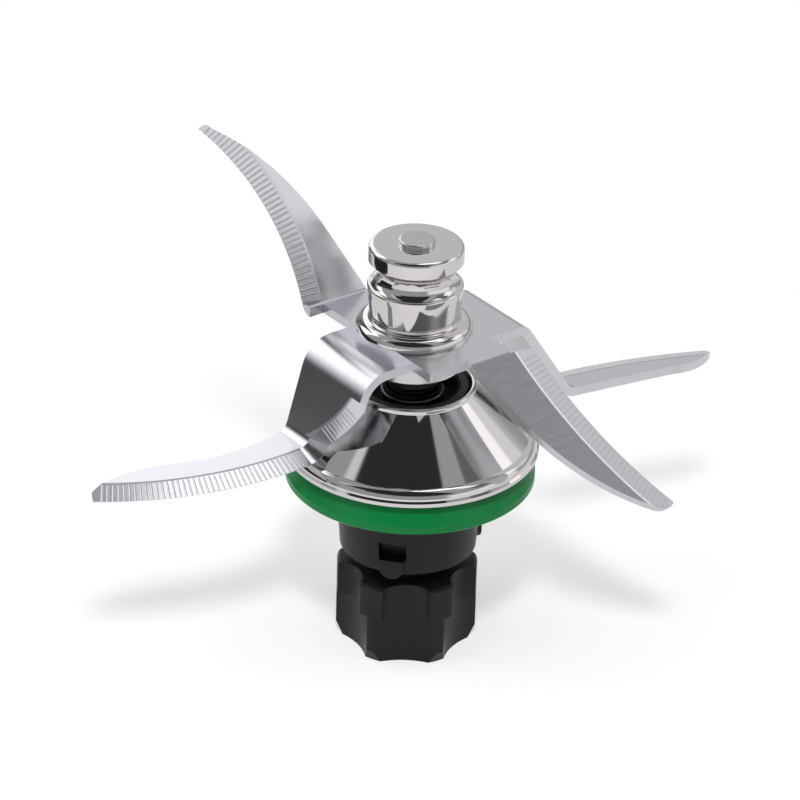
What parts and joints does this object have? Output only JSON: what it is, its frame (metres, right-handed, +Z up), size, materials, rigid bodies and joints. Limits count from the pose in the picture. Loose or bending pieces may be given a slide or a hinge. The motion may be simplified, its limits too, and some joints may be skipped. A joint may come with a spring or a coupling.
{
  "type": "blender blade assembly",
  "caption": "Mixing knife: sickle and bent sheet blades on a spindle over a polished cone, with a green seal ring, a black bearing housing and a star drive coupling.",
  "frame": {"origin": "middle of the drive coupling's flat foot, on the spindle's axis", "axes": "+Z up the spindle towards the hub, +X along the lower blade's shallow arm"},
  "size_m": [0.1451, 0.0841, 0.1134],
  "materials": {
    "black_plastic": "semi-gloss moulded",
    "brass": "plain",
    "spindle_steel": "ground",
    "spring_steel": "blued",
    "bearing_steel": "ground",
    "cage_steel": "pressed",
    "spacer_steel": "turned",
    "green_silicone": "satin",
    "polished_steel": "mirror polished stainless",
    "black_rubber": "matte",
    "turned_steel": "fine turned",
    "blade_steel": "satin stainless, ground edges"
  },
  "bodies": {
    "housing": {"bearing_housing": "black_plastic", "cone_cover": "polished_steel", "seal_ring": "green_silicone", "shaft_seal_case": "spacer_steel", "shaft_seal_lip": "black_rubber", "garter_spring": "spring_steel", "lower_outer_race": "bearing_steel", "upper_outer_race": "bearing_steel", "outer_spacer": "spacer_steel", "circlip": "spring_steel", "spring_washer": "spring_steel"},
    "rotor": {"spindle": "spindle_steel", "drive_coupling": "black_plastic", "coupling_insert": "brass", "lower_inner_race": "bearing_steel", "inner_spacer": "spacer_steel", "upper_inner_race": "bearing_steel", "blade_collar": "turned_steel", "lower_blade": "blade_steel", "upper_blade": "blade_steel", "hub": "polished_steel"},
    "lower_rollers": {"lower_balls": "bearing_steel", "lower_cage": "cage_steel"},
    "upper_rollers": {"upper_balls": "bearing_steel", "upper_cage": "cage_steel"}
  },
  "joints": [
    {"name": "rotor_spin", "type": "hinge", "parent": "housing", "child": "rotor", "pos_m": [0, 0, 0.04], "axis": [0, 0, 1], "continuous": true},
    {"name": "lower_rollers_spin", "type": "hinge", "parent": "housing", "child": "lower_rollers", "pos_m": [0, 0, 0.028], "axis": [0, 0, 1], "continuous": true},
    {"name": "upper_rollers_spin", "type": "hinge", "parent": "housing", "child": "upper_rollers", "pos_m": [0, 0, 0.051], "axis": [0, 0, 1], "continuous": true}
  ],
  "couplings": [
    {"joint": "lower_rollers_spin", "follows": "rotor_spin", "ratio": 0.3677},
    {"joint": "upper_rollers_spin", "follows": "rotor_spin", "ratio": 0.3677}
  ]
}
